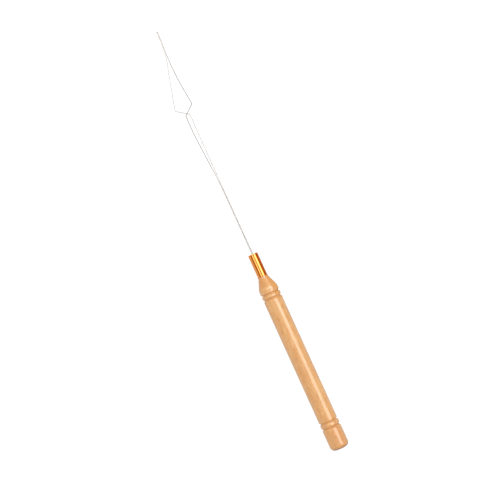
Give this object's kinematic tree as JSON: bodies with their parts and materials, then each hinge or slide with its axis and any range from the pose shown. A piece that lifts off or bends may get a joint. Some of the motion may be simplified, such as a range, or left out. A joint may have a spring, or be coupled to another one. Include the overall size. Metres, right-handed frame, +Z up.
{
  "type": "wire loop tool",
  "caption": "Slim hand tool: turned wooden handle, gold-coloured ferrule and a thin spring-wire loop formed into an arrowhead for pulling thread or strands through.",
  "frame": {"origin": "centre of the flat on the handle's butt end, on the turning axis", "axes": "+X along the handle from the butt to the tip of the wire, +Z up from the table that the tool lies on, so the loop lies flat in the XY plane and the wider side of the arrowhead is at +Y"},
  "size_m": [0.1923, 0.009, 0.0082],
  "materials": {
    "lacquered_wood": "pale close-grained turned wood under clear gloss lacquer",
    "polished_brass": "polished tube with a warm gold tint",
    "amber_resin": "hardened clear amber adhesive",
    "spring_steel": "drawn bright spring-steel wire"
  },
  "bodies": {
    "root": {"handle": "lacquered_wood", "ferrule": "polished_brass", "resin_plug": "amber_resin", "loop_wire": "spring_steel"}
  },
  "joints": []
}
